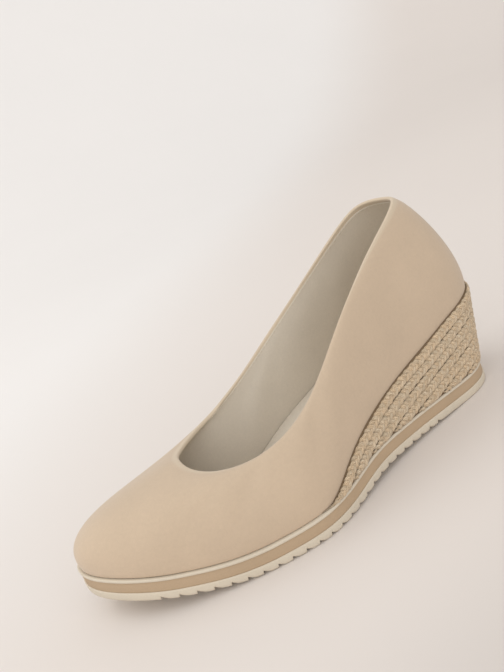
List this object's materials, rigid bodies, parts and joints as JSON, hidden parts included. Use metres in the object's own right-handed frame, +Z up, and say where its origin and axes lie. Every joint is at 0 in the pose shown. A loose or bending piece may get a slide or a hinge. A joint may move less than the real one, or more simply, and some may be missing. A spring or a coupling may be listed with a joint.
{
  "type": "wedge pump",
  "caption": "Left wedge pump: round toed soft upper with a U shaped throat on a rope covered wedge and a layered sole with a sawtooth tread.",
  "frame": {"origin": "centre of the shoe's bounding box in plan, at the height of the floor that heel and ball stand on", "axes": "-X towards the toe, +X towards the heel, -Y the lateral (outer) side of this left shoe, +Y its medial side, +Z up"},
  "size_m": [0.2588, 0.092, 0.1181],
  "materials": {
    "nubuck": "matt nubuck",
    "rope": "plaited jute",
    "light_rubber": "matt, light beige",
    "tan_rubber": "matt, tan",
    "sock": "soft lining leather"
  },
  "bodies": {
    "root": {"outsole": "light_rubber", "midsole_band": "tan_rubber", "rim_band": "light_rubber", "wedge": "rope", "upper": "nubuck", "insole": "sock"}
  },
  "joints": []
}
